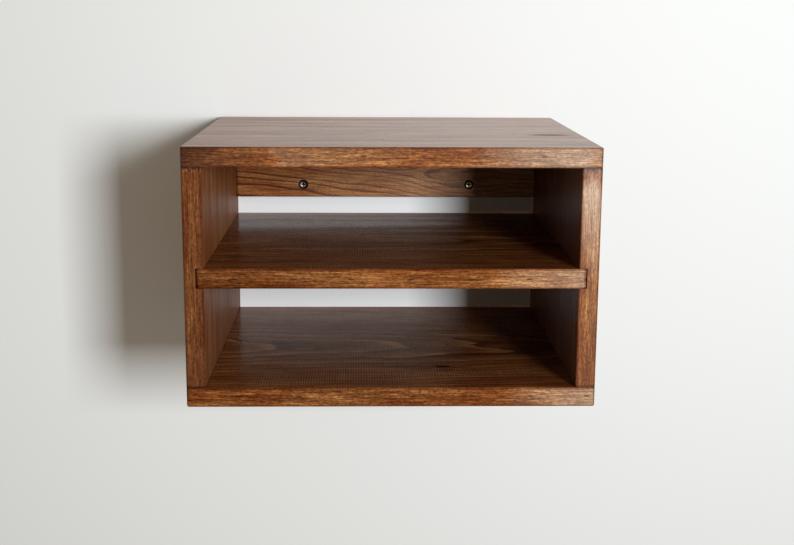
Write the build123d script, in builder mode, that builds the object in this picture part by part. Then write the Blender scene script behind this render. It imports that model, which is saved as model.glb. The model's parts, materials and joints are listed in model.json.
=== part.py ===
from build123d import *
from math import cos, pi, sin
import os

# A wall-hung shelf unit made from planed pine boards.
# Millimetres, +Z up, the open front faces -Y and the wall is the plane Y = 0.
# The origin is on the wall, midway between the two screws that carry the unit.

# The box
width = 400.0
depth = 350.0
board = 19.5             # thickness of every board
upper_room = 97.5        # clear height above the middle shelf
lower_room = 99.0        # clear height below it
arris_radius = 1.2       # sanded edges
joint_break = 0.8        # broken edges of the top and bottom boards along the butt joints
foot_radius = 2.0        # lower edges of the bottom board, sanded rounder than the rest
corner_radius = 2.5      # the box's four upright corners
back_corner_radius = 5.0 # the top board's two corners at the wall

# The middle shelf is let into a square groove in each side
housing_depth = 8.0
housing_play = 0.3       # above the shelf
shelf_end_room = 0.9     # between the shelf's end and the groove's floor, seen as a dark line

# The hanging rail and its screws
rail_height = 75.0
screw_spacing = 200.0
screw_rise = 15.0        # from the rail's lower edge up to the screws
screw_length = 60.0
thread_diameter = 5.0
neck_diameter = 3.6      # plain neck inside the rail
head_diameter = 9.6
head_rim = 0.3           # thin cylindrical edge of the head
head_sink = 0.5          # how far the head lies below the rail's face
point_length = 6.0
screw_hole_diameter = 5.5
seat_gap = 0.1           # between the head's cone and the countersink

# The hidden dowels
dowel_diameter = 8.0
dowel_length = 40.0
dowel_chamfer = 1.0
flute_count = 12
flute_depth = 0.4
dowel_play = 0.1         # glue film round a dowel
dowel_end_room = 1.0     # air beyond each end of a dowel
blind_wood = 7.0         # wood left beyond a bore in a board's face
dowel_setback = 50.0     # from the front and back edges to the outermost dowels
rail_end_pitch = 40.0    # between the two dowels in an end of the rail

# Heights and widths that follow from these
rail_bottom = -screw_rise
top_underside = rail_bottom + rail_height
shelf_top = top_underside - upper_room
shelf_underside = shelf_top - board
floor_top = shelf_underside - lower_room
side_height = top_underside - floor_top
inner_width = width - 2 * board
side_centre = (width - board) / 2
shelf_length = inner_width + 2 * (housing_depth - shelf_end_room)
rail_centre = rail_bottom + rail_height / 2

# Bores: a dowel goes a short way into a face and a long way into an end
bore_radius = dowel_diameter / 2 + dowel_play
face_bore = board - blind_wood
end_bore = dowel_length + 2 * dowel_end_room - face_bore
dowel_in_face = face_bore - dowel_end_room

# The spots are points on a joint's own plane
side_dowel_rows = {"front": -depth + dowel_setback, "middle": -depth / 2, "back": -dowel_setback}
rail_end_rows = {"lower": rail_centre - rail_end_pitch / 2, "upper": rail_centre + rail_end_pitch / 2}
hands = {"left": -1, "right": 1}

side_spots = [(hand * side_centre, y) for hand in hands.values() for y in side_dowel_rows.values()]
rail_end_spots = [(-board / 2, z) for z in rail_end_rows.values()]

top_joint = Plane.XY.offset(top_underside)
floor_joint = Plane.XY.offset(floor_top)
rail_face = Plane.XZ.offset(board)

os.makedirs("parts", exist_ok=True)


def finish(piece, label):
    """Label a finished piece and write it as a file of its own."""
    piece.label = label
    export_step(piece, f"parts/{label}.step")


# Top board, bored from below for the sides
with BuildPart() as top_board:
    with BuildSketch(top_joint):
        with Locations((0, -depth / 2)):
            Rectangle(width, depth)
    extrude(amount=board)
    front_corners, back_corners = top_board.edges().filter_by(Axis.Z).group_by(Axis.Y)
    fillet(front_corners, corner_radius)
    fillet(back_corners, back_corner_radius)
    lower, *_, upper = top_board.faces().sort_by(Axis.Z)
    fillet(upper.edges(), arris_radius)
    chamfer(lower.edges(), joint_break)
    with BuildSketch(top_joint):
        with Locations(*side_spots):
            Circle(bore_radius)
    extrude(amount=face_bore, mode=Mode.SUBTRACT)
finish(top_board.part, "top_board")

# Bottom board, bored from above for the sides
with BuildPart() as bottom_board:
    with BuildSketch(floor_joint):
        with Locations((0, -depth / 2)):
            Rectangle(width, depth)
    extrude(amount=-board)
    fillet(bottom_board.edges().filter_by(Axis.Z), corner_radius)
    lower, *_, upper = bottom_board.faces().sort_by(Axis.Z)
    fillet(lower.edges(), foot_radius)
    chamfer(upper.edges(), joint_break)
    with BuildSketch(floor_joint):
        with Locations(*side_spots):
            Circle(bore_radius)
    extrude(amount=-face_bore, mode=Mode.SUBTRACT)
finish(bottom_board.part, "bottom_board")

# The two sides, each with the shelf's housing cut right through from front to back
for name, hand in hands.items():
    inner_face = Plane.YZ.offset(hand * inner_width / 2)
    end_spots = [(hand * side_centre, y) for y in side_dowel_rows.values()]
    with BuildPart() as side:
        with BuildSketch(floor_joint):
            with Locations((hand * side_centre, -depth / 2)):
                Rectangle(board, depth)
        extrude(amount=side_height)
        inner_edges, outer_edges = side.edges().filter_by(Axis.Z).group_by(Axis.X)[::hand]
        fillet(inner_edges, arris_radius)
        fillet(outer_edges, corner_radius)
        with BuildSketch(inner_face):
            with Locations((-depth / 2, (shelf_underside + shelf_top + housing_play) / 2)):
                Rectangle(depth, board + housing_play)
        extrude(amount=hand * housing_depth, mode=Mode.SUBTRACT)
        with BuildSketch(floor_joint):
            with Locations(*end_spots):
                Circle(bore_radius)
        extrude(amount=end_bore, mode=Mode.SUBTRACT)
        with BuildSketch(top_joint):
            with Locations(*end_spots):
                Circle(bore_radius)
        extrude(amount=-end_bore, mode=Mode.SUBTRACT)
        with BuildSketch(inner_face):
            with Locations(*rail_end_spots):
                Circle(bore_radius)
        extrude(amount=hand * face_bore, mode=Mode.SUBTRACT)
    finish(side.part, f"{name}_side")

# Middle shelf, standing on the lower wall of each housing
with BuildPart() as middle_shelf:
    with BuildSketch(Plane.XY.offset(shelf_underside)):
        with Locations((0, -depth / 2)):
            Rectangle(shelf_length, depth)
    extrude(amount=board)
    fillet(middle_shelf.edges().filter_by(Axis.X), arris_radius)
finish(middle_shelf.part, "middle_shelf")

# Hanging rail, countersunk for the wall screws and bored for its own dowels
with BuildPart() as hanging_rail:
    with BuildSketch(Plane.XY.offset(rail_bottom)):
        with Locations((0, -board / 2)):
            Rectangle(inner_width, board)
    extrude(amount=rail_height)
    fillet(hanging_rail.edges().filter_by(Axis.X).group_by(Axis.Z)[0], arris_radius)
    with Locations(rail_face):
        with GridLocations(screw_spacing, 0, 2, 1):
            CounterSinkHole(
                radius=screw_hole_diameter / 2,
                counter_sink_radius=head_diameter / 2 + head_rim + head_sink + seat_gap,
                depth=board,
                counter_sink_angle=90,
            )
    for hand in hands.values():
        with BuildSketch(Plane.YZ.offset(hand * inner_width / 2)):
            with Locations(*rail_end_spots):
                Circle(bore_radius)
        extrude(amount=-hand * end_bore, mode=Mode.SUBTRACT)
finish(hanging_rail.part, "hanging_rail")

# Wall screws: the neck is plain as far as the wall, and the thread lies beyond it
head_face = -board + head_sink
cone_start = head_face + head_rim
cone_end = cone_start + (head_diameter - neck_diameter) / 2
screw_tip = head_face + screw_length
for name, hand in hands.items():
    x = hand * screw_spacing / 2
    with BuildPart() as screw:
        with BuildSketch(Plane.XY):
            with BuildLine():
                Polyline(
                    (x, head_face),
                    (x + head_diameter / 2, head_face),
                    (x + head_diameter / 2, cone_start),
                    (x + neck_diameter / 2, cone_end),
                    (x + neck_diameter / 2, 0),
                    (x + thread_diameter / 2, 0),
                    (x + thread_diameter / 2, screw_tip - point_length),
                    (x, screw_tip),
                    close=True,
                )
            make_face()
        revolve(axis=Axis((x, 0, 0), (0, 1, 0)))
    finish(screw.part, f"{name}_wall_screw")


def fluted_outline():
    """The dowel's outline: crests on its diameter, with a shallow flute between each two."""
    radii = [dowel_diameter / 2, dowel_diameter / 2 - flute_depth] * flute_count
    step = pi / flute_count
    return [(r * cos(i * step), r * sin(i * step)) for i, r in enumerate(radii)]


def add_dowel(label, joint, spot, towards_face):
    """Make one fluted dowel across a joint; towards_face is +1 or -1 along the joint's normal."""
    start = joint.from_local_coords((*spot, -towards_face * (dowel_length - dowel_in_face)))
    with BuildPart() as dowel:
        with BuildSketch(Plane(start, x_dir=joint.x_dir, z_dir=joint.z_dir)):
            with BuildLine():
                Polyline(*fluted_outline(), close=True)
            make_face()
        extrude(amount=towards_face * dowel_length)
        chamfer(dowel.faces().filter_by(joint).edges(), dowel_chamfer)
    finish(dowel.part, label)


# Dowels, each pushed up to a little short of its face bore's floor
for name, hand in hands.items():
    for row, y in side_dowel_rows.items():
        add_dowel(f"top_{name}_dowel_{row}", top_joint, (hand * side_centre, y), 1)
        add_dowel(f"bottom_{name}_dowel_{row}", floor_joint, (hand * side_centre, y), -1)
    for row, z in rail_end_rows.items():
        inner_face = Plane.YZ.offset(hand * inner_width / 2)
        add_dowel(f"rail_{name}_dowel_{row}", inner_face, (-board / 2, z), hand)
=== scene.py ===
"""Looks of a wall-hung shelf unit: six stained pine boards, beech dowels and two wall screws."""

import json
import math

import bmesh
import bpy
from bpy.props import FloatProperty, FloatVectorProperty, PointerProperty
from mathutils import Euler, Matrix, Vector
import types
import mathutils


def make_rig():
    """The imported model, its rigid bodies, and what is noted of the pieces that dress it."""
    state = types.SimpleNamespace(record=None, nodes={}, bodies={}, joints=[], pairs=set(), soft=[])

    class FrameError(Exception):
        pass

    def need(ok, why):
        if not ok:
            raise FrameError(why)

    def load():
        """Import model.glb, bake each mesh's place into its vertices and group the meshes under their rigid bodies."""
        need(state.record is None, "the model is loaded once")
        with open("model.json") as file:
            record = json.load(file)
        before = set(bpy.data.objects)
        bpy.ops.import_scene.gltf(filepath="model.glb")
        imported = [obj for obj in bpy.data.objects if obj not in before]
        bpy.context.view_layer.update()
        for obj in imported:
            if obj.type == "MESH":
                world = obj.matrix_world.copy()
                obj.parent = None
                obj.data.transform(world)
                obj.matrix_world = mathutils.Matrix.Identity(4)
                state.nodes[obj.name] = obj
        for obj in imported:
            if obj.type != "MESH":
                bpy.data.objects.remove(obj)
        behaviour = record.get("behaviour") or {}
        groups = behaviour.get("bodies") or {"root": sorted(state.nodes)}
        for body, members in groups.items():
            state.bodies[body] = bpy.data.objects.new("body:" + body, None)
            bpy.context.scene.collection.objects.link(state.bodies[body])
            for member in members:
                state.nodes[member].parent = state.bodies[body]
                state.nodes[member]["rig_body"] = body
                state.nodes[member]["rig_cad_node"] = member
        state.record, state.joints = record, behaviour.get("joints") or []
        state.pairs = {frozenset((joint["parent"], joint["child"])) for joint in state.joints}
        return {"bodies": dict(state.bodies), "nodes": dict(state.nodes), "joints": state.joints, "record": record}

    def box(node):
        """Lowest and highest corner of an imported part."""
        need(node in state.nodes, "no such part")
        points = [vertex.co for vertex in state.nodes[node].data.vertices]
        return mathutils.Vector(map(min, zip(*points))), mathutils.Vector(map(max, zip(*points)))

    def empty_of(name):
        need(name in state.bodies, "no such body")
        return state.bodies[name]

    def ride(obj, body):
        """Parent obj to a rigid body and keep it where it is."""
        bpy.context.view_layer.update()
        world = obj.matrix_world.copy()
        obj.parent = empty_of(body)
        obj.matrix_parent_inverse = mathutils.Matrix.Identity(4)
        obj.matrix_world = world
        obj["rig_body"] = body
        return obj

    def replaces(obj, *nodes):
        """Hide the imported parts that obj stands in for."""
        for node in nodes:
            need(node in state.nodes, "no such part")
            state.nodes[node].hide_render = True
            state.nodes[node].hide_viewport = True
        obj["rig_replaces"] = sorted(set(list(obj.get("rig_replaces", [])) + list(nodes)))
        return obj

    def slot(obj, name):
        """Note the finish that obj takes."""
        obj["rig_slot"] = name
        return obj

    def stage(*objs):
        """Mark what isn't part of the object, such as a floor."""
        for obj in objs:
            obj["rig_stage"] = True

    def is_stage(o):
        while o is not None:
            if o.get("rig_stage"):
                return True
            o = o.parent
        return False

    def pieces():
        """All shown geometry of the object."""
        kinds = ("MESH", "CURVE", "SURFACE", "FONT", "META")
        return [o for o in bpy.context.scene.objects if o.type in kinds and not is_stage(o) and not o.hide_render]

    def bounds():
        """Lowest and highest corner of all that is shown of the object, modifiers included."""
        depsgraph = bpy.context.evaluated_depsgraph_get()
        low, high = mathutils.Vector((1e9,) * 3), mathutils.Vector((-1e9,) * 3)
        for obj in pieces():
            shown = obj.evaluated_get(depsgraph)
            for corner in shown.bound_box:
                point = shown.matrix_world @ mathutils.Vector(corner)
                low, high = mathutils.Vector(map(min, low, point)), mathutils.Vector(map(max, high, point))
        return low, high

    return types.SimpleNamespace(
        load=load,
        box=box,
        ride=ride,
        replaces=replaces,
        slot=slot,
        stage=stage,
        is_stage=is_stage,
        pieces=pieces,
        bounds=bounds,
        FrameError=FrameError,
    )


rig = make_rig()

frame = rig.load()
cad_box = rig.bounds()

bl_info = {
    "name": "Floating Shelf Unit",
    "version": (1, 0, 0),
    "blender": (4, 5, 0),
    "location": "View3D > Sidebar > Shelf Unit",
    "description": "Stains the boards, drives the wall screws and sets the stage of a wall-hung shelf unit",
    "category": "Object",
}

MM = 0.001
# How far the wall and the floor reach, in metres
ROOM_REACH = 4.0
SIZE_FILE = "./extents.json"


def linear(hex_colour):
    """The linear RGBA value of an sRGB hex colour such as #7a5236."""
    channels = [int(hex_colour[i : i + 2], 16) / 255 for i in (1, 3, 5)]
    return [c / 12.92 if c <= 0.04045 else ((c + 0.055) / 1.055) ** 2.4 for c in channels] + [1.0]


def add(tree, kind, wires=None, out=0, stops=None, **settings):
    """Add a node with its settings, link or set its inputs, and return one of its outputs."""
    node = tree.nodes.new(kind)
    for name, value in settings.items():
        setattr(node, name, value)
    for key, value in (wires or {}).items():
        if isinstance(value, bpy.types.NodeSocket):
            tree.links.new(value, node.inputs[key])
        else:
            node.inputs[key].default_value = value
    if stops:
        elements = node.color_ramp.elements
        while len(elements) < len(stops):
            elements.new(0.5)
        for element, (position, colour) in zip(elements, stops):
            element.position = position
            element.color = colour
    return node.outputs[out] if node.outputs else node


# A coat of colour multiplies the colour below it, or hides it
TINT = {"out": 2, "data_type": "RGBA", "blend_type": "MULTIPLY"}
COVER = {"out": 2, "data_type": "RGBA"}
BLACK, WHITE = (0, 0, 0, 1), (1, 1, 1, 1)
# Where early and late wood show between one growth line, at 0, and the next, at 1
EARLY_WOOD = [(0.0, WHITE), (0.10, WHITE), (0.34, BLACK), (0.97, BLACK), (1.0, WHITE)]
LATE_WOOD = [(0.0, BLACK), (0.66, BLACK), (0.86, WHITE), (0.95, WHITE), (0.985, BLACK)]

# How each board was sawn from its log, how it took the stain and how it shines. Lengths are in
# millimetres in the board's own directions: along its grain, across its width, through its thickness.
# turn       degrees from the shared frame's directions to the board's own
# pith       the log's heart, seen from the board's middle; lean is the log's tilt in degrees
# ring       mean width of a year's growth
# seed       shifts the noise, so that no two boards look alike
# dark_line  how strongly early wood shows; pale_line is the same for late wood
# knots      places along and across, radii, and how dark the hearts are
# specks     place of one fleck along the front edge, and the height of all
# stain      places along the narrow edges, each with how light the stain stayed there; the lightening towards the right ends is partly thin stain and partly painted sheen
# wide       how light it stayed at the two ends of the wide faces; the high values of the top board are partly painted sheen, and the low ones inside the unit's right half are painted shade
# bare       how strongly a pale grey-tan shows where the stain is lightest, partly thin stain and partly painted sheen
# torn       stretch of an end where the grain tore and dried pale
# chatter    strength of the planer ripples
# grain      contrast of the fibres on the narrow edges, and on the wide faces
# dulling    how unevenly the varnish shines; specular is its specular level
# roughness  roughness of the varnish at the left or lower end, and beyond the middle
# screws     places of screws, with painted shade over the countersinks round their heads
BOARDS = {
    "top_board": {
        "turn": (0, 0, 0), "pith": (0, -8, -70), "lean": (0.0, -0.9, 0.4), "ring": 6.5, "seed": 3.0,
        "dark_line": 0.6, "pale_line": 0.5, "knots": [(166, -50, 12, 0.3)], "specks": (-140.7, 1.0),
        "stain": [(-200, 0.26), (-160, 0.56), (-110, 1.38), (60, 1.27), (130, 1.52), (180, 1.6),
                  (200, 1.4)],
        "wide": (1.12, 1.3), "bare": 1.6, "torn": None, "chatter": 0.15, "grain": (1.0, 0.5),
        "dulling": 0.5, "roughness": (0.30, 0.25), "specular": 0.18, "screws": [],
    },
    "bottom_board": {
        "turn": (0, 0, 0), "pith": (0, -20, -95), "lean": (0.0, -3.3, 0.3), "ring": 7.0, "seed": 11.0,
        "dark_line": 1.0, "pale_line": 1.6, "knots": [(55, -99, 5.0, 1.0)], "specks": (-149.0, 1.0),
        "stain": [(-200, 1.08), (0, 0.85), (90, 1.15), (200, 2.0)],
        "wide": (1.12, 0.80), "bare": 0.7, "torn": None, "chatter": 1.0, "grain": (1.0, 0.6),
        "dulling": 1.0, "roughness": (0.18, 0.32), "specular": 0.04, "screws": [],
    },
    "middle_shelf": {
        "turn": (0, 0, 0), "pith": (0, -24, -80), "lean": (0.0, -2.2, -0.3), "ring": 7.5, "seed": 23.0,
        "dark_line": 1.0, "pale_line": 1.6, "knots": [], "specks": (-152.4, -0.5),
        "stain": [(-190, 0.75), (-60, 0.95), (80, 1.15), (190, 1.95)],
        "wide": (0.98, 0.74), "bare": 0.7, "torn": None, "chatter": 1.0, "grain": (0.88, 0.8),
        "dulling": 1.0, "roughness": (0.15, 0.32), "specular": 0.02, "screws": [],
    },
    "left_side": {
        "turn": (0, 90, 0), "pith": (0, -30, 60), "lean": (0.0, 1.5, 0.5), "ring": 5.0, "seed": 37.0,
        "dark_line": 0.25, "pale_line": 0.05, "knots": [], "specks": None,
        "stain": [(-108, 0.38), (-60, 0.58), (70, 0.85), (108, 0.95)],
        "wide": (0.82, 1.22), "bare": 0.8, "torn": (101, 112), "chatter": 0.5, "grain": (0.75, 0.35),
        "dulling": 0.6, "roughness": (0.46, 0.46), "specular": 0.08, "screws": [],
    },
    "right_side": {
        "turn": (0, 90, 0), "pith": (0, 20, -60), "lean": (0.0, -1.5, 0.5), "ring": 5.0, "seed": 51.0,
        "dark_line": 0.5, "pale_line": 0.2, "knots": [], "specks": None,
        "stain": [(-108, 1.0), (0, 1.25), (50, 1.8), (86, 2.15), (104, 0.9)],
        "wide": (0.6, 0.55), "bare": 0.7, "torn": (92, 112), "chatter": 0.5, "grain": (0.85, 0.4),
        "dulling": 0.6, "roughness": (0.36, 0.32), "specular": 0.26, "screws": [],
    },
    "hanging_rail": {
        "turn": (-90, 0, 0), "pith": (0, -75, -25), "lean": (0.0, 0.5, 5.5), "ring": 5.8, "seed": 67.0,
        "dark_line": 2.2, "pale_line": 0.3,
        "knots": [(84, -14, 12, 0.0), (56, -7, 5, 0.5), (84, 2, 8, 0.7)], "specks": None,
        "stain": [(-180, 0.85), (180, 0.95)],
        "wide": (1.25, 1.6), "bare": 0.9, "torn": None, "chatter": 0.0, "grain": (0.5, 0.6),
        "dulling": 1.0, "roughness": (0.42, 0.42), "specular": 0.10,
        "screws": [(-100, -22.5), (100, -22.5)],
    },
}

# Noise layers: length along the grain and breadth across it in millimetres, and octaves. Fibres
# and pores are drawn near a millimetre wide, coarser than real ones, so that they show
LAYERS = (
    ("sway", 150, 50, 2), ("blotch", 80, 18, 2), ("band", 380, 24, 2), ("streak", 44, 1.5, 2),
    ("fibre", 14, 0.8, 2), ("grit", 3.4, 1.15, 1), ("knife", 1.5, 60, 1),
)
# Shift from one noise layer of a board to the next
LAYER_STEP = 7.3
# How much each layer darkens the wood, and the share of that by which it lightens it
SPREAD = (("band", 0.26), ("blotch", 0.12), ("streak", 0.50), ("fibre", 0.60), ("grit", 0.52))
LIGHTENING = 0.65
# How much each layer roughens the varnish
DULLING = (("band", 0.40), ("streak", 0.30), ("fibre", 0.20))
# Powers for red, green and blue: dark fibres turn redder and light ones paler, and heavy stain
# takes away more green than red
FIBRE_HUES = (0.9, 1.05, 1.15)
STAIN_HUES = (0.93, 1.1, 1.0)
# Lightness of the stain at which the pale grey-tan of thin stain and painted sheen begins to show, and at which it
# shows most
BARE_FROM, BARE_TO = 1.3, 2.1
# Millimetres from one fleck on the front edge to the next
SPECK_STEP = 57.0


def distance(tree, point, centre, stretch):
    """The distance from a centre, with each axis stretched first."""
    offset = add(tree, "ShaderNodeVectorMath", {0: point, 1: centre}, operation="SUBTRACT")
    offset = add(tree, "ShaderNodeVectorMath", {0: offset, 1: stretch}, operation="MULTIPLY")
    return add(tree, "ShaderNodeVectorMath", {0: offset}, out="Value", operation="LENGTH")


def stray(tree, point, noise, reach):
    """The point moved by noise, by up to half the reach along each axis."""
    centred = add(tree, "ShaderNodeVectorMath", {0: noise, 1: (0.5,) * 3}, operation="SUBTRACT")
    return add(tree, "ShaderNodeVectorMath", {0: centred, 1: reach, 2: point}, operation="MULTIPLY_ADD")


def knot_field(tree, board, place, knots):
    """How far each knot parts the growth lines, in millimetres, and where its dark heart is."""
    slim = (0.45, 1, 0)
    swirl, parting = 3.6, 0.85
    dark_within, dark_until = 0.35, 1.1
    push, heart = 0.0, 0.0
    for along, across, radius, depth in knots:
        away = distance(tree, board, (along, across, 0), slim)
        sideways = add(tree, "ShaderNodeMath", {0: place["Y"], 1: across}, operation="SUBTRACT")
        bulge = add(tree, "ShaderNodeMapRange", {
            "Value": away, "From Max": swirl * radius, "To Min": -parting, "To Max": 0.0},
            interpolation_type="SMOOTHERSTEP")
        push = add(tree, "ShaderNodeMath", {0: bulge, 1: sideways, 2: push}, operation="MULTIPLY_ADD")
        core = add(tree, "ShaderNodeMapRange", {
            "Value": away, "From Min": dark_within * radius, "From Max": dark_until * radius,
            "To Min": depth, "To Max": 0.0}, interpolation_type="SMOOTHSTEP")
        heart = add(tree, "ShaderNodeMath", {0: core, 1: heart}, operation="MAXIMUM")
    return push, heart


def growth_rings(tree, board, sawn, layers, push):
    """Where a point lies between two growth lines, from 0 to 1, and how vigorous that year was."""
    long_sway, short_sway = (0, 16, 16), (0, 4, 4)
    unevenness, change = 1.6, 0.3
    swayed = stray(tree, board, layers["sway"]["Color"], long_sway)
    swayed = stray(tree, swayed, layers["blotch"]["Color"], short_sway)
    lean = Euler([math.radians(a) for a in sawn["lean"]])
    to_pith = lean.to_matrix() @ Vector(sawn["pith"])
    log = add(tree, "ShaderNodeMapping", {"Vector": swayed, "Rotation": lean})
    radius = distance(tree, log, to_pith, (0, 1, 1))
    radius = add(tree, "ShaderNodeMath", {0: radius, 1: push}, operation="ADD")
    rings = add(tree, "ShaderNodeMath", {0: radius, 1: sawn["ring"]}, operation="DIVIDE")
    years = add(tree, "ShaderNodeTexNoise", {"W": rings, "Scale": change, "Detail": 1.0},
                noise_dimensions="1D")
    rings = add(tree, "ShaderNodeMath", {0: years, 1: unevenness, 2: rings}, operation="MULTIPLY_ADD")
    phase = add(tree, "ShaderNodeMath", {0: rings}, operation="FRACT")
    year = add(tree, "ShaderNodeMath", {0: rings}, operation="FLOOR")
    return phase, add(tree, "ShaderNodeTexWhiteNoise", {"W": year}, noise_dimensions="1D")


def growth_line(tree, shape, strength, vigour, flatness):
    """How strongly a growth line covers the body colour, weaker in lean years."""
    leanest = 0.25
    fades = add(tree, "ShaderNodeMapRange", {
        "Value": vigour, "To Min": leanest * strength, "To Max": strength})
    fades = add(tree, "ShaderNodeMath", {0: fades, 1: flatness}, operation="MULTIPLY")
    return add(tree, "ShaderNodeMath", {0: shape, 1: fades}, operation="MULTIPLY", use_clamp=True)


def fibre_shades(tree, layers, facing, grain):
    """The red, green and blue by which bands, streaks, fibres and pores lighten or darken the wood."""
    low, high = 0.3, 0.7
    tone = 1.0
    for layer, spread in SPREAD:
        gain = add(tree, "ShaderNodeMapRange", {
            "Value": layers[layer]["Fac"], "From Min": low, "From Max": high,
            "To Min": 1 - spread, "To Max": 1 + LIGHTENING * spread})
        tone = add(tree, "ShaderNodeMath", {0: gain, 1: tone}, operation="MULTIPLY")
    narrow, wide = grain
    shades = []
    for hue in FIBRE_HUES:
        contrast = add(tree, "ShaderNodeMapRange", {
            "Value": facing["Z"], "To Min": narrow * hue, "To Max": wide * hue})
        shades.append(add(tree, "ShaderNodeMath", {0: tone, 1: contrast}, operation="POWER"))
    return add(tree, "ShaderNodeCombineColor", dict(enumerate(shades)))


def stain_sheen_and_shade(tree, sawn, place, facing, layers):
    """How light the stain stayed, from place to place on narrow edges and from end to end on all other faces, with
    painted sheen at the lighter right ends and painted shade on the darker wide faces in the unit's right half.
    """
    wander = 60.0
    shift = add(tree, "ShaderNodeMath", {0: layers["blotch"]["Fac"], 1: wander, 2: -wander / 2},
                operation="MULTIPLY_ADD")
    spot = add(tree, "ShaderNodeMath", {0: place["X"], 1: shift}, operation="ADD")
    first, last = sawn["stain"][0][0], sawn["stain"][-1][0]
    spot = add(tree, "ShaderNodeMapRange", {"Value": spot, "From Min": first, "From Max": last})
    # A ramp holds no more than 1, so it holds half of the lightness
    light = add(tree, "ShaderNodeValToRGB", {"Fac": spot}, stops=[
        ((along - first) / (last - first), (gain / 2, gain / 2, gain / 2, 1))
        for along, gain in sawn["stain"]])
    light = add(tree, "ShaderNodeMath", {0: light, 1: 2.0}, operation="MULTIPLY")
    # The wide faces go from the left value to the right one: the low values of the shelf, the bottom and the right
    # side are painted shade in the unit's right half
    left, right = sawn["wide"]
    wide = add(tree, "ShaderNodeMapRange", {"Value": spot, "To Min": left, "To Max": right})
    elsewhere = add(tree, "ShaderNodeMapRange", {"Value": facing["Y"], "To Min": 1.0, "To Max": 0.0})
    return add(tree, "ShaderNodeMix", {"Factor": elsewhere, 2: light, 3: wide})


def front_specks(tree, place, facing, first, height):
    """Small dark flecks at nearly even steps along the front edge, as feed rollers leave."""
    half_length, half_height = 5.0, 1.3
    scatter = (0.5, 0.6, 0)
    dark_within, darkest, faintest = 0.3, 0.8, 0.75
    steps = add(tree, "ShaderNodeMath", {0: place["X"], 1: first}, operation="SUBTRACT")
    steps = add(tree, "ShaderNodeMath", {0: steps, 1: SPECK_STEP}, operation="DIVIDE")
    step = add(tree, "ShaderNodeMath", {0: steps}, operation="ROUND")
    offset = add(tree, "ShaderNodeMath", {0: steps, 1: step}, operation="SUBTRACT")
    chance = add(tree, "ShaderNodeTexWhiteNoise", {"W": step}, noise_dimensions="1D").node.outputs
    fleck = add(tree, "ShaderNodeCombineXYZ", {"X": offset, "Y": place["Z"]})
    fleck = add(tree, "ShaderNodeVectorMath", {0: fleck, 1: (0, height, 0)}, operation="SUBTRACT")
    fleck = add(tree, "ShaderNodeVectorMath", {
        0: fleck, 1: (SPECK_STEP / half_length, 1 / half_height, 0)}, operation="MULTIPLY")
    fleck = stray(tree, fleck, chance["Color"], scatter)
    away = add(tree, "ShaderNodeVectorMath", {0: fleck}, out="Value", operation="LENGTH")
    dark = add(tree, "ShaderNodeMapRange", {"Value": away, "From Min": dark_within, "From Max": 1.0,
                                            "To Min": darkest, "To Max": 0.0})
    faint = add(tree, "ShaderNodeMapRange", {"Value": chance["Value"], "To Min": faintest, "To Max": 1.0})
    dark = add(tree, "ShaderNodeMath", {0: dark, 1: faint}, operation="MULTIPLY")
    return add(tree, "ShaderNodeMath", {0: dark, 1: facing["Y"]}, operation="MULTIPLY")


def darker_long_edges(tree, place, facing, layers):
    """Darker bands along the long edges of the narrow faces, with a wavering outline."""
    waver, begin, full = 5.0, 9.2, 12.2
    rim = add(tree, "ShaderNodeMath", {0: place["Z"]}, operation="ABSOLUTE")
    rim = add(tree, "ShaderNodeMath", {0: layers["streak"]["Fac"], 1: waver, 2: rim},
              operation="MULTIPLY_ADD")
    rim = add(tree, "ShaderNodeMapRange", {"Value": rim, "From Min": begin, "From Max": full},
              interpolation_type="SMOOTHSTEP")
    return add(tree, "ShaderNodeMath", {0: rim, 1: facing["Y"]}, operation="MULTIPLY")


def torn_grain(tree, place, facing, layers, begin, end):
    """Tufts of torn fibres on the narrow edges, stronger towards the joint."""
    tuft_from, tuft_to, strongest = 0.48, 0.66, 0.7
    torn = add(tree, "ShaderNodeMapRange", {"Value": place["X"], "From Min": begin, "From Max": end})
    tuft = add(tree, "ShaderNodeMapRange", {"Value": layers["grit"]["Fac"], "From Min": tuft_from,
                                            "From Max": tuft_to, "To Max": strongest})
    torn = add(tree, "ShaderNodeMath", {0: torn, 1: tuft}, operation="MULTIPLY")
    return add(tree, "ShaderNodeMath", {0: torn, 1: facing["Y"]}, operation="MULTIPLY")


def planer_ripple(tree, pitch, chatter, place, facing, layers):
    """Ripples across the grain of the wide faces, about as high as deep, stronger in some patches."""
    drift_scale, drift_turn, skew = 0.02, 6.0, 0.01
    wave, jitter = 0.8, 1.8
    calm, rough, weakest = 0.4, 0.6, 0.35
    turns = add(tree, "ShaderNodeMath", {0: place["X"], 1: math.tau / (pitch / MM)},
                operation="MULTIPLY")
    drift = add(tree, "ShaderNodeTexNoise", {"W": place["X"], "Scale": drift_scale, "Detail": 1.0},
                noise_dimensions="1D")
    turns = add(tree, "ShaderNodeMath", {0: drift, 1: drift_turn, 2: turns}, operation="MULTIPLY_ADD")
    turns = add(tree, "ShaderNodeMath", {0: place["Y"], 1: skew, 2: turns}, operation="MULTIPLY_ADD")
    ripple = add(tree, "ShaderNodeMath", {0: turns}, operation="SINE")
    ripple = add(tree, "ShaderNodeMath", {0: ripple, 1: wave, 2: -jitter / 2}, operation="MULTIPLY_ADD")
    ripple = add(tree, "ShaderNodeMath", {0: layers["knife"]["Fac"], 1: jitter, 2: ripple},
                 operation="MULTIPLY_ADD")
    patch = add(tree, "ShaderNodeMapRange", {
        "Value": layers["sway"]["Fac"], "From Min": calm, "From Max": rough,
        "To Min": weakest * chatter, "To Max": chatter})
    patch = add(tree, "ShaderNodeMath", {0: patch, 1: facing["Z"]}, operation="MULTIPLY")
    return add(tree, "ShaderNodeMath", {0: ripple, 1: patch}, operation="MULTIPLY")


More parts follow.
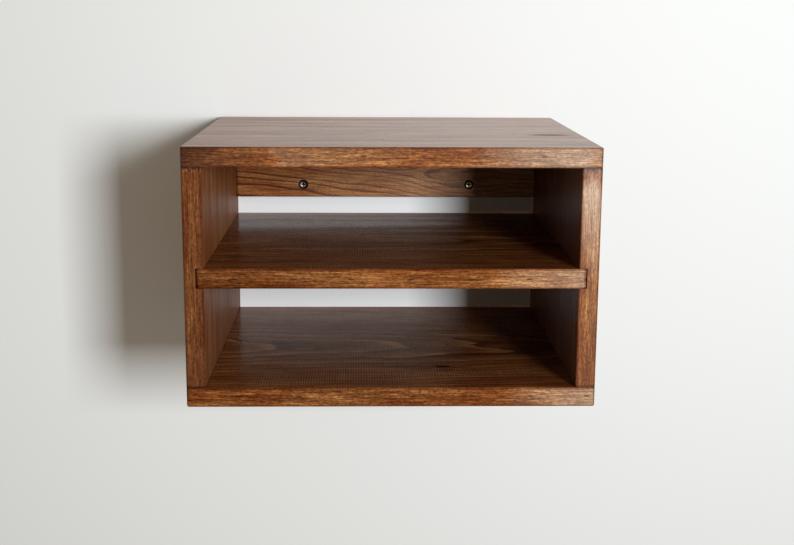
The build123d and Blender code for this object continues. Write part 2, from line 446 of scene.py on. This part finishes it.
def joint_seam(tree, half_length, place, facing, layers):
    """Darker tint over the last millimetres of each board, next to the joints."""
    waver, begin, full = 3.0, 1.5, 1.3
    seam = add(tree, "ShaderNodeMath", {0: place["X"]}, operation="ABSOLUTE")
    seam = add(tree, "ShaderNodeMath", {0: layers["streak"]["Fac"], 1: waver, 2: seam},
               operation="MULTIPLY_ADD")
    seam = add(tree, "ShaderNodeMapRange", {"Value": seam, "From Min": half_length - begin,
                                            "From Max": half_length + full})
    return add(tree, "ShaderNodeMath", {0: seam, 1: facing["X"]}, operation="SUBTRACT", use_clamp=True)


def varnish_roughness(tree, sawn, place, layers, ripple, pits):
    """The satin varnish: duller on bands, fibres and ripples, and matt in pits."""
    start, end = -180.0, 60.0
    ripple_dulling, pit_dulling, glossiest = 0.10, 0.7, 0.12
    left, right = sawn["roughness"]
    dull = add(tree, "ShaderNodeMapRange", {"Value": place["X"], "From Min": start, "From Max": end,
                                            "To Min": left, "To Max": right})
    for layer, spread in DULLING:
        spread *= sawn["dulling"]
        dull = add(tree, "ShaderNodeMath", {0: layers[layer]["Fac"], 1: -spread, 2: dull},
                   operation="MULTIPLY_ADD")
        dull = add(tree, "ShaderNodeMath", {0: dull, 1: spread / 2}, operation="ADD")
    dull = add(tree, "ShaderNodeMath", {0: ripple, 1: ripple_dulling, 2: dull}, operation="MULTIPLY_ADD")
    dull = add(tree, "ShaderNodeMath", {0: pits, 1: pit_dulling, 2: dull}, operation="MULTIPLY_ADD")
    return add(tree, "ShaderNodeMath", {0: dull, 1: glossiest}, operation="MAXIMUM")


def blank_material(name):
    """A new material without nodes, and its node tree."""
    material = bpy.data.materials.new(name)
    material.use_nodes = True
    material.node_tree.nodes.clear()
    return material, material.node_tree


def stained_pine(node_name, sawn, finish):
    """Planed pine under a walnut spirit stain and one coat of satin varnish.

    The eye sees light growth lines on brown, short fibre streaks, and fine planer ripples across
    the grain that catch the light; end grain drinks more stain and goes darker.
    """
    material, tree = blank_material(f"Stained pine {node_name}")
    low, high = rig.box(node_name)
    turn = Euler([math.radians(a) for a in sawn["turn"]])
    middle = turn.to_matrix() @ ((low + high) / 2) / MM
    half_length = abs((turn.to_matrix() @ (high - low)).x) / 2 / MM
    coordinates = add(tree, "ShaderNodeTexCoord").node.outputs
    board = add(tree, "ShaderNodeMapping", {
        "Vector": coordinates["Object"], "Location": -middle, "Rotation": turn, "Scale": (1 / MM,) * 3})
    place = add(tree, "ShaderNodeSeparateXYZ", {"Vector": board}).node.outputs
    facing = add(tree, "ShaderNodeMapping", {"Vector": coordinates["Normal"], "Rotation": turn},
                 vector_type="VECTOR")
    facing = add(tree, "ShaderNodeVectorMath", {0: facing}, operation="ABSOLUTE")
    facing = add(tree, "ShaderNodeSeparateXYZ", {"Vector": facing}).node.outputs
    layers = {}
    for number, (layer, length, breadth, detail) in enumerate(LAYERS):
        stretched = add(tree, "ShaderNodeMapping", {
            "Vector": board, "Location": (sawn["seed"] + LAYER_STEP * number,) * 3,
            "Scale": (1 / length, 1 / breadth, 1 / breadth)})
        layers[layer] = add(tree, "ShaderNodeTexNoise", {
            "Vector": stretched, "Scale": 1.0, "Detail": detail}).node.outputs

    # The stain sinks into the soft early wood and stays light on the hard late wood
    push, heart = knot_field(tree, board, place, sawn["knots"])
    phase, vigour = growth_rings(tree, board, sawn, layers, push)
    early = add(tree, "ShaderNodeValToRGB", {"Fac": phase}, stops=EARLY_WOOD)
    late = add(tree, "ShaderNodeValToRGB", {"Fac": phase}, stops=LATE_WOOD)
    on_narrow_edges = 0.35
    flatness = add(tree, "ShaderNodeMapRange", {
        "Value": facing["Y"], "To Min": 1.0, "To Max": on_narrow_edges})
    brownest, reddest = 0.60, 0.38
    red_zone = add(tree, "ShaderNodeMapRange", {
        "Value": layers["blotch"]["Fac"], "From Min": brownest, "From Max": reddest},
        interpolation_type="SMOOTHSTEP")
    shades = fibre_shades(tree, layers, facing, sawn["grain"])
    coats = [
        (COVER, growth_line(tree, early, sawn["dark_line"], vigour, flatness), finish.early_colour),
        (COVER, growth_line(tree, late, sawn["pale_line"], vigour, flatness), finish.late_colour),
        (TINT, red_zone, finish.red_colour),
        (TINT, 1.0, shades),
        (COVER, heart, finish.knot_and_shade_colour),
    ]

    # Painted shade over the countersinks round the screw heads, fading outwards
    head_edge, fades_at, darkest = 5.2, 6.8, 0.9
    for along, across in sawn["screws"]:
        away = distance(tree, board, (along, across, 0), (1, 1, 0))
        ring = add(tree, "ShaderNodeMapRange", {"Value": away, "From Min": head_edge,
                                                "From Max": fades_at, "To Min": darkest, "To Max": 0.0})
        coats.append((COVER, ring, finish.knot_and_shade_colour))

    # Stain lies heavier in some stretches, and wood shows where it is thinnest. The lighter, grey-tan right ends are
    # partly painted sheen, and the darker wide faces in the unit's right half are painted shade
    light = stain_sheen_and_shade(tree, sawn, place, facing, layers)
    depths = [add(tree, "ShaderNodeMath", {0: light, 1: hue}, operation="POWER") for hue in STAIN_HUES]
    bare = add(tree, "ShaderNodeMapRange", {"Value": light, "From Min": BARE_FROM, "From Max": BARE_TO,
                                            "To Max": sawn["bare"]})
    fibres_in_bare = 0.6
    bare_and_sheen_wood = add(tree, "ShaderNodeMix", {
        "Factor": fibres_in_bare, 6: finish.bare_and_sheen_colour, 7: shades}, **TINT)
    coats += [
        (TINT, 1.0, add(tree, "ShaderNodeCombineColor", dict(enumerate(depths)))),
        (COVER, bare, bare_and_sheen_wood),
        (TINT, darker_long_edges(tree, place, facing, layers), finish.rim_colour),
    ]
    specks = 0.0
    if sawn["specks"]:
        specks = front_specks(tree, place, facing, *sawn["specks"])
        coats.append((COVER, specks, finish.knot_and_shade_colour))
    if sawn["torn"]:
        coats.append((COVER, torn_grain(tree, place, facing, layers, *sawn["torn"]), finish.torn_colour))

    ripple = planer_ripple(tree, finish.planer_pitch, sawn["chatter"], place, facing, layers)
    ripple_shade = 0.22
    rippled = add(tree, "ShaderNodeMath", {0: ripple, 1: ripple_shade, 2: 1.0}, operation="MULTIPLY_ADD")
    end_from, end_to = 0.3, 0.8
    end_grain = add(tree, "ShaderNodeMapRange", {
        "Value": facing["X"], "From Min": end_from, "From Max": end_to}, interpolation_type="SMOOTHSTEP")
    coats += [
        (TINT, 1.0, rippled),
        (TINT, joint_seam(tree, half_length, place, facing, layers), finish.seam_colour),
        (TINT, end_grain, finish.end_colour),
    ]
    colour = finish.body_colour
    for kind, share, paint in coats:
        colour = add(tree, "ShaderNodeMix", {"Factor": share, 6: colour, 7: paint}, **kind)

    # Relief in millimetres: proud late wood, fibres and planer ripples
    ripple_height, fibre_height, line_height = 0.015, 0.015, 0.01
    relief = add(tree, "ShaderNodeMath", {0: ripple, 1: ripple_height}, operation="MULTIPLY")
    relief = add(tree, "ShaderNodeMath", {0: layers["fibre"]["Fac"], 1: fibre_height, 2: relief},
                 operation="MULTIPLY_ADD")
    proud = add(tree, "ShaderNodeMath", {0: late, 1: facing["Z"]}, operation="MULTIPLY")
    relief = add(tree, "ShaderNodeMath", {0: proud, 1: line_height, 2: relief}, operation="MULTIPLY_ADD")
    bump = add(tree, "ShaderNodeBump", {"Height": relief, "Strength": 1.0, "Distance": MM})
    pits = add(tree, "ShaderNodeMath", {0: heart, 1: specks}, operation="MAXIMUM")
    dull = varnish_roughness(tree, sawn, place, layers, ripple, pits)
    surface = add(tree, "ShaderNodeBsdfPrincipled", {
        "Base Color": colour, "Roughness": dull, "Specular IOR Level": sawn["specular"], "Normal": bump})
    add(tree, "ShaderNodeOutputMaterial", {"Surface": surface})
    return material


def beech(finish):
    """Turned, unstained beech.

    The eye sees pale pinkish wood with short brown ray flecks.
    """
    material, tree = blank_material("Fluted beech")
    ray_scale = (0.5 / MM, 2 / MM, 2 / MM)
    faint, strong = 0.5, 0.7
    place = add(tree, "ShaderNodeTexCoord", out="Object")
    rays = add(tree, "ShaderNodeMapping", {"Vector": place, "Scale": ray_scale})
    rays = add(tree, "ShaderNodeTexNoise", {"Vector": rays, "Scale": 1.0, "Detail": 2.0})
    fleck = add(tree, "ShaderNodeMapRange", {"Value": rays, "From Min": faint, "From Max": strong})
    colour = add(tree, "ShaderNodeMix", {
        "Factor": fleck, 6: finish.beech_colour, 7: finish.ray_colour}, **COVER)
    bump = add(tree, "ShaderNodeBump", {"Height": rays, "Strength": 0.4, "Distance": 0.1 * MM})
    surface = add(tree, "ShaderNodeBsdfPrincipled", {
        "Base Color": colour, "Roughness": 0.6, "Normal": bump})
    add(tree, "ShaderNodeOutputMaterial", {"Surface": surface})
    return material


def plated_steel(name, tone, film, axis):
    """Zinc-plated steel, dulled by a brown film of the stain that was wiped over it.

    The eye sees a dark head with a brighter ring round its recess. The film darkens the head's rim and the recess
    floor partly as painted shade and dark reflection, and the bright ring is a painted highlight where the glint
    falls.
    """
    material, tree = blank_material(name)
    cloud_scale = 0.6 / MM
    head_radius = 5 * MM
    # Painted shade and dark reflection where the film covers the rim and the recess floor, and a painted highlight on
    # the bright ring between
    painted_light_ring = [(0.10, BLACK), (0.30, WHITE), (0.55, WHITE), (0.72, BLACK)]
    thin_film, no_film, least_metal = 0.30, 0.60, 0.2
    place = add(tree, "ShaderNodeTexCoord", out="Object")
    cloud = add(tree, "ShaderNodeMapping", {"Vector": place, "Scale": (cloud_scale,) * 3})
    cloud = add(tree, "ShaderNodeTexNoise", {"Vector": cloud, "Scale": 1.0, "Detail": 3.0})
    away = distance(tree, place, axis, (1, 0, 1))
    away = add(tree, "ShaderNodeMath", {0: away, 1: head_radius}, operation="DIVIDE")
    painted_light = add(tree, "ShaderNodeValToRGB", {"Fac": away}, stops=painted_light_ring)
    patch = add(tree, "ShaderNodeMapRange", {
        "Value": cloud, "From Min": thin_film, "From Max": no_film, "To Min": least_metal})
    patch = add(tree, "ShaderNodeMath", {0: patch, 1: painted_light}, operation="MULTIPLY")
    colour = add(tree, "ShaderNodeMix", {"Factor": patch, 6: film, 7: tone}, **COVER)
    cloud_low, cloud_high, dullest, brightest = 0.3, 0.7, 0.45, 0.22
    dull = add(tree, "ShaderNodeMapRange", {"Value": cloud, "From Min": cloud_low, "From Max": cloud_high,
                                            "To Min": dullest, "To Max": brightest})
    surface = add(tree, "ShaderNodeBsdfPrincipled", {
        "Base Color": colour, "Metallic": 1.0, "Roughness": dull})
    add(tree, "ShaderNodeOutputMaterial", {"Surface": surface})
    return material


def dress(node_name, material):
    """Give a piece its material."""
    for slot in frame["nodes"][node_name].material_slots:
        slot.material = material


class ShelfFinish(bpy.types.PropertyGroup):
    """Stain and surface of the boards."""

    early_colour: FloatVectorProperty(
        name="Early wood", description="Soft spring wood, which drinks the most stain",
        subtype="COLOR", size=4, default=linear("#613214"))
    body_colour: FloatVectorProperty(
        name="Body", description="Wood between the growth lines",
        subtype="COLOR", size=4, default=linear("#955e33"))
    late_colour: FloatVectorProperty(
        name="Late wood", description="Hard summer wood, which stays light",
        subtype="COLOR", size=4, default=linear("#b88450"))
    red_colour: FloatVectorProperty(
        name="Red zones", description="Tint of the redder stretches",
        subtype="COLOR", size=4, default=linear("#e8d2c4"))
    # Partly thin stain and partly painted sheen on the lightest right ends
    bare_and_sheen_colour: FloatVectorProperty(
        name="Thin stain", description="Pine where hardly any stain was left",
        subtype="COLOR", size=4, default=linear("#cdb49a"))
    # Tint of the darker bands along the long edges of the narrow faces
    rim_colour: FloatVectorProperty(
        name="Rims", description="Tint along the long edges, where stain pooled",
        subtype="COLOR", size=4, default=linear("#c09c8c"))
    # Tint over the last millimetres of each board next to the joints
    seam_colour: FloatVectorProperty(
        name="Seams", description="Tint where stain pooled in the joints",
        subtype="COLOR", size=4, default=linear("#8a6f62"))
    torn_colour: FloatVectorProperty(
        name="Torn grain", description="Dry fibres that took no stain",
        subtype="COLOR", size=4, default=linear("#a08c7c"))
    # Also the painted shade round the screw heads
    knot_and_shade_colour: FloatVectorProperty(
        name="Knots", description="Hearts of knots and the small flecks",
        subtype="COLOR", size=4, default=linear("#2c160a"))
    end_colour: FloatVectorProperty(
        name="End grain", description="Tint of stain soaked into the open pores",
        subtype="COLOR", size=4, default=linear("#a08a7c"))
    planer_pitch: FloatProperty(
        name="Planer pitch", description="Distance between two planer ripples",
        default=2.6 * MM, unit="LENGTH")


class ShelfHardware(bpy.types.PropertyGroup):
    """Wall screws and dowels."""

    beech_colour: FloatVectorProperty(
        name="Beech", description="Bare beech", subtype="COLOR", size=4, default=linear("#d8b48c"))
    ray_colour: FloatVectorProperty(
        name="Ray flecks", description="Short brown rays in beech",
        subtype="COLOR", size=4, default=linear("#b0835a"))
    left_plating: FloatVectorProperty(
        name="Left plating", description="Bright zinc", subtype="COLOR", size=4,
        default=linear("#a8948a"))
    right_plating: FloatVectorProperty(
        name="Right plating", description="Yellow-passivated zinc", subtype="COLOR", size=4,
        default=linear("#a09868"))
    # Partly the stain film and partly painted shade and dark reflection on the screw heads
    film_and_shade_colour: FloatVectorProperty(
        name="Stain film", description="Brown film left on the screw heads", subtype="COLOR", size=4,
        default=linear("#1c1410"))
    neck_radius: FloatProperty(
        name="Neck radius", description="Plain neck of a wall screw", default=1.8 * MM, unit="LENGTH")
    core_radius: FloatProperty(
        name="Core radius", description="Root of the thread", default=1.6 * MM, unit="LENGTH")
    thread_radius: FloatProperty(
        name="Thread radius", description="Crest of the thread", default=2.5 * MM, unit="LENGTH")
    thread_pitch: FloatProperty(
        name="Thread pitch", description="Advance of the thread in one turn", default=2.5 * MM,
        unit="LENGTH")
    point_length: FloatProperty(
        name="Point", description="Length of the tapered point", default=6.0 * MM, unit="LENGTH")
    recess_reach: FloatProperty(
        name="Recess reach", description="From the screw's axis to the end of a recess arm",
        default=2.7 * MM, unit="LENGTH")
    recess_width: FloatProperty(
        name="Recess width", description="Width of a recess arm", default=1.2 * MM, unit="LENGTH")
    recess_depth: FloatProperty(
        name="Recess depth", description="Depth of the cross recess", default=3.0 * MM, unit="LENGTH")


class ShelfStage(bpy.types.PropertyGroup):
    """Wall, floor, window light and camera."""

    wall_colour: FloatVectorProperty(
        name="Wall", description="Matt wall paint",
        subtype="COLOR", size=4, default=linear("#f1f1ef"))
    far_colour: FloatVectorProperty(
        name="Far room", description="Pale background beyond the wall and the floor",
        subtype="COLOR", size=4, default=linear("#c4c2be"))
    floor_drop: FloatProperty(
        name="Floor", description="Depth of the floor below the wall screws", default=0.62, unit="LENGTH")
    window_colour: FloatVectorProperty(
        name="Window colour", description="Cool daylight",
        subtype="COLOR", size=4, default=linear("#f4faff"))
    window_power: FloatProperty(
        name="Window", description="Light of the window", default=29.9, unit="POWER")
    room_colour: FloatVectorProperty(
        name="Room colour", description="Warm light from the rest of the room",
        subtype="COLOR", size=4, default=linear("#ffefd7"))
    room_light: FloatProperty(
        name="Room", description="Strength of the light from the rest of the room", default=0.23)


class SHELFUNIT_OT_stain_boards(bpy.types.Operator):
    """Give each board its own piece of stained pine"""

    bl_idname = "shelfunit.stain_boards"
    bl_label = "Stain the Boards"

    def execute(self, context):
        for name, sawn in BOARDS.items():
            dress(name, stained_pine(name, sawn, context.scene.shelf_finish))
        return {"FINISHED"}


class SHELFUNIT_OT_fit_dowels(bpy.types.Operator):
    """Leave the dowels in bare beech"""

    bl_idname = "shelfunit.fit_dowels"
    bl_label = "Fit the Dowels"

    def execute(self, context):
        material = beech(context.scene.shelf_hardware)
        for name in frame["nodes"]:
            if "dowel" in name:
                dress(name, material)
        return {"FINISHED"}


class SHELFUNIT_OT_drive_screws(bpy.types.Operator):
    """Drive two countersunk wall screws with rolled threads and cross recesses"""

    bl_idname = "shelfunit.drive_screws"
    bl_label = "Drive the Wall Screws"

    def execute(self, context):
        hardware = context.scene.shelf_hardware
        platings = (
            ("left", "Bright zinc plate", hardware.left_plating),
            ("right", "Yellow zinc plate", hardware.right_plating),
        )
        for side, plating, tone in platings:
            node = f"{side}_wall_screw"
            low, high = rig.box(node)
            axis = Vector(((low.x + high.x) / 2, 0, (low.z + high.z) / 2))
            material = plated_steel(plating, tone, hardware.film_and_shade_colour, axis)
            form = bmesh.new()
            self.turn_body(form, hardware, (high.x - low.x) / 2, high.y - low.y)
            self.press_recess(form, hardware)
            self.roll_thread(form, hardware, -low.y, high.y - low.y)
            bmesh.ops.recalc_face_normals(form, faces=form.faces)
            bmesh.ops.translate(form, verts=form.verts, vec=axis + Vector((0, low.y, 0)))
            mesh = bpy.data.meshes.new(f"{side}_screw")
            form.to_mesh(mesh)
            form.free()
            mesh.shade_smooth()
            mesh.set_sharp_from_angle(angle=math.radians(35))
            mesh.materials.append(material)
            screw = bpy.data.objects.new(f"{side}_screw", mesh)
            context.scene.collection.objects.link(screw)
            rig.ride(screw, "root")
            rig.replaces(screw, node)
            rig.slot(screw, "zinc_steel")
        return {"FINISHED"}

    def turn_body(self, form, hardware, head_radius, length):
        """Head, neck and core, turned about the Y axis with the head's face at the origin."""
        rim, edge = 0.3 * MM, 0.1 * MM
        cone = rim + head_radius - hardware.neck_radius
        shoulder, shoulder_length = 19.0 * MM, 0.5 * MM
        facets = 48
        same_place = 0.001 * MM
        profile = [
            (head_radius - edge, 0), (head_radius, edge), (head_radius, rim),
            (hardware.neck_radius, cone), (hardware.neck_radius, shoulder),
            (hardware.core_radius, shoulder + shoulder_length),
            (hardware.core_radius, length - hardware.point_length), (0, length)]
        line = [form.verts.new((radius, y, 0)) for radius, y in profile]
        edges = [form.edges.new(pair) for pair in zip(line, line[1:])]
        bmesh.ops.spin(form, geom=line + edges, cent=(0, 0, 0), axis=(0, 1, 0), dvec=(0, 0, 0),
                       angle=math.tau, steps=facets, use_merge=True)
        bmesh.ops.remove_doubles(form, verts=form.verts, dist=same_place)

    def press_recess(self, form, hardware):
        """Close the head's dished face round a cross, and draw the cross down to a point."""
        rim = [edge for edge in form.edges if edge.is_boundary]
        dish = 0.35 * MM
        inner_corner = 0.95 * hardware.recess_width
        # Each step down takes a share of the depth and shrinks the cross
        steps = ((0.15, 0.92), (0.55, 0.55), (0.30, 0.15))
        corner = math.hypot(hardware.recess_reach, hardware.recess_width / 2)
        spread = math.atan2(hardware.recess_width / 2, hardware.recess_reach)
        cross = bmesh.ops.create_circle(form, segments=12, radius=corner)["verts"]
        for number, vertex in enumerate(cross):
            arm, place = divmod(number, 3)
            angle = arm * math.radians(90) + (-spread, spread, math.radians(45))[place]
            radius = (corner, corner, inner_corner)[place]
            vertex.co = Vector((radius * math.cos(angle), dish, radius * math.sin(angle)))
        outline = list({edge for vertex in cross for edge in vertex.link_edges})
        bmesh.ops.triangle_fill(form, use_beauty=True, edges=rim + outline)
        for drop, shrink in steps:
            wall = bmesh.ops.extrude_edge_only(form, edges=outline)["geom"]
            low = [part for part in wall if isinstance(part, bmesh.types.BMVert)]
            outline = [part for part in wall if isinstance(part, bmesh.types.BMEdge)]
            outline = [edge for edge in outline if all(vertex in low for vertex in edge.verts)]
            bmesh.ops.scale(form, verts=low, vec=(shrink, 1, shrink))
            bmesh.ops.translate(form, verts=low, vec=(0, drop * hardware.recess_depth, 0))
        bmesh.ops.triangle_fill(form, use_beauty=True, edges=outline)

    def roll_thread(self, form, hardware, wall, length):
        """A triangular ridge wound round the core, from the wall to the point."""
        steps = 24
        half = 0.22 * hardware.thread_pitch
        inner = 0.97 * hardware.core_radius
        start = wall + half
        before = set(form.verts)
        corners = [form.verts.new(place) for place in (
            (inner, start - half, 0), (hardware.thread_radius, start, 0), (inner, start + half, 0))]
        ridge = form.faces.new(corners)
        turns = (length - start - half) / hardware.thread_pitch
        bmesh.ops.spin(form, geom=[*corners, *ridge.edges, ridge], cent=(0, 0, 0), axis=(0, 1, 0),
                       dvec=(0, hardware.thread_pitch / steps, 0), angle=math.tau * turns,
                       steps=int(steps * turns))
        for vertex in set(form.verts) - before:
            share = min(1.0, max(0.0, (length - vertex.co.y) / hardware.point_length))
            vertex.co.x *= share
            vertex.co.z *= share


class SHELFUNIT_OT_set_stage(bpy.types.Operator):
    """Hang the unit on a pale wall over a pale floor, in window light"""

    bl_idname = "shelfunit.set_stage"
    bl_label = "Set the Stage"

    def execute(self, context):
        settings = context.scene.shelf_stage
        self.put_up_wall(context, settings)
        self.lay_floor(context, settings)
        self.open_window(context, settings)
        self.light_backs(context)
        self.fill_room(context, settings)
        self.place_camera(context)
        return {"FINISHED"}

    def put_up_wall(self, context, settings):
        """A matt wall, which the camera looks through from behind."""
        paint, tree = blank_material("Matt wall paint")
        solid = add(tree, "ShaderNodeBsdfDiffuse", {"Color": settings.wall_colour})
        clear = add(tree, "ShaderNodeBsdfTransparent")
        behind = add(tree, "ShaderNodeNewGeometry", out="Backfacing")
        looking = add(tree, "ShaderNodeLightPath", out="Is Camera Ray")
        unseen = add(tree, "ShaderNodeMath", {0: behind, 1: looking}, operation="MULTIPLY")
        both = add(tree, "ShaderNodeMixShader", {0: unseen, 1: solid, 2: clear})
        add(tree, "ShaderNodeOutputMaterial", {"Surface": both})
        foot = -settings.floor_drop
        gap = 0.2 * MM
        wall = self.plane(context, "wall", paint, [
            (-ROOM_REACH, gap, foot), (ROOM_REACH, gap, foot),
            (ROOM_REACH, gap, ROOM_REACH), (-ROOM_REACH, gap, ROOM_REACH)])
        wall.visible_shadow = False

    def lay_floor(self, context, settings):
        """A pale floor, which throws no light back on the boards."""
        paint, tree = blank_material("Pale floor")
        surface = add(tree, "ShaderNodeBsdfPrincipled", {
            "Base Color": settings.wall_colour, "Roughness": 0.9})
        add(tree, "ShaderNodeOutputMaterial", {"Surface": surface})
        foot = -settings.floor_drop
        floor = self.plane(context, "floor", paint, [
            (-ROOM_REACH, -ROOM_REACH, foot), (ROOM_REACH, -ROOM_REACH, foot),
            (ROOM_REACH, ROOM_REACH, foot), (-ROOM_REACH, ROOM_REACH, foot)])
        floor.visible_diffuse = False

    def open_window(self, context, settings):
        """A tall window to the right of the camera, aimed at the unit's right half."""
        aim = Vector((0.26, 0, 0.27))
        window = bpy.data.lights.new("window", "AREA")
        window.shape = "RECTANGLE"
        window.size = 0.58
        window.size_y = 0.74
        window.spread = math.radians(100)
        window.color = settings.window_colour[:3]
        window.energy = settings.window_power
        lamp = bpy.data.objects.new("window", window)
        lamp.location = (1.09, -3.13, 0.40)
        lamp.rotation_mode = "QUATERNION"
        lamp.rotation_quaternion = (lamp.location - aim).to_track_quat("Z", "Y")
        context.scene.collection.objects.link(lamp)

    def light_backs(self, context):
        """A light from behind the wall, which reaches only the backs of the boards."""
        rear = bpy.data.lights.new("rear", "SUN")
        rear.energy = 2.0
        lamp = bpy.data.objects.new("rear", rear)
        lamp.rotation_euler = (math.radians(-90), 0, 0)
        lamp.visible_glossy = False
        context.scene.collection.objects.link(lamp)

    def fill_room(self, context, settings):
        """The rest of the room: pale where it is seen or mirrored, and warm where it lights."""
        world = bpy.data.worlds.new("Room")
        world.use_nodes = True
        context.scene.world = world
        tree = world.node_tree
        tree.nodes.clear()
        room = add(tree, "ShaderNodeBackground", {
            "Color": settings.room_colour, "Strength": settings.room_light})
        pale = add(tree, "ShaderNodeBackground", {"Color": settings.far_colour, "Strength": 1.0})
        path = add(tree, "ShaderNodeLightPath").node.outputs
        seen = path["Is Camera Ray"]
        for ray in ("Is Glossy Ray", "Is Transmission Ray"):
            seen = add(tree, "ShaderNodeMath", {0: seen, 1: path[ray]}, operation="MAXIMUM")
        both = add(tree, "ShaderNodeMixShader", {0: seen, 1: room, 2: pale})
        add(tree, "ShaderNodeOutputWorld", {"Surface": both})

    def place_camera(self, context):
        """The camera that was fitted to the edges in the photograph; its turns are in radians."""
        eye_place = (-0.02731, -1.54364, 0.2034)
        heading, droop, roll = -0.0268, 0.2018, 0.0057
        camera = bpy.data.cameras.new("camera")
        camera.lens = 57.56
        camera.sensor_width = 36.0
        eye = bpy.data.objects.new("camera", camera)
        eye.matrix_world = (
            Matrix.Translation(eye_place)
            @ Matrix.Rotation(heading, 4, "Z")
            @ Matrix.Rotation(math.radians(90) - droop, 4, "X")
            @ Matrix.Rotation(roll, 4, "Z")
        )
        context.scene.collection.objects.link(eye)
        context.scene.camera = eye
        context.scene.view_settings.view_transform = "Standard"

    def plane(self, context, name, material, corners):
        """A flat stage piece through four corners."""
        form = bmesh.new()
        form.faces.new([form.verts.new(corner) for corner in corners])
        mesh = bpy.data.meshes.new(name)
        form.to_mesh(mesh)
        form.free()
        mesh.materials.append(material)
        piece = bpy.data.objects.new(name, mesh)
        context.scene.collection.objects.link(piece)
        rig.stage(piece)
        return piece


class SHELFUNIT_PT_panel(bpy.types.Panel):
    """Sizes, colours and steps of the shelf unit"""

    bl_idname = "SHELFUNIT_PT_panel"
    bl_label = "Shelf Unit"
    bl_space_type = "VIEW_3D"
    bl_region_type = "UI"
    bl_category = "Shelf Unit"

    def draw(self, context):
        steps = (
            (SHELFUNIT_OT_stain_boards, context.scene.shelf_finish),
            (SHELFUNIT_OT_fit_dowels, None),
            (SHELFUNIT_OT_drive_screws, context.scene.shelf_hardware),
            (SHELFUNIT_OT_set_stage, context.scene.shelf_stage),
        )
        for operator, settings in steps:
            box = self.layout.box()
            box.operator(operator.bl_idname)
            for name in settings.bl_rna.properties.keys() if settings else ():
                if name not in {"rna_type", "name"}:
                    box.prop(settings, name)


CLASSES = (
    ShelfFinish, ShelfHardware, ShelfStage, SHELFUNIT_OT_stain_boards, SHELFUNIT_OT_fit_dowels,
    SHELFUNIT_OT_drive_screws, SHELFUNIT_OT_set_stage, SHELFUNIT_PT_panel)


def register():
    for cls in CLASSES:
        bpy.utils.register_class(cls)
    bpy.types.Scene.shelf_finish = PointerProperty(type=ShelfFinish)
    bpy.types.Scene.shelf_hardware = PointerProperty(type=ShelfHardware)
    bpy.types.Scene.shelf_stage = PointerProperty(type=ShelfStage)


def unregister():
    del bpy.types.Scene.shelf_stage
    del bpy.types.Scene.shelf_hardware
    del bpy.types.Scene.shelf_finish
    for cls in reversed(CLASSES):
        bpy.utils.unregister_class(cls)


def main():
    """Build the looks in order and note the two boxes."""
    register()
    bpy.ops.shelfunit.stain_boards()
    bpy.ops.shelfunit.fit_dowels()
    bpy.ops.shelfunit.drive_screws()
    bpy.ops.shelfunit.set_stage()
    boxes = {"cad": cad_box, "visual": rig.bounds()}
    with open(SIZE_FILE, "w") as file:
        json.dump({name: [list(corner) for corner in box] for name, box in boxes.items()}, file)


if __name__ == "__main__":
    main()
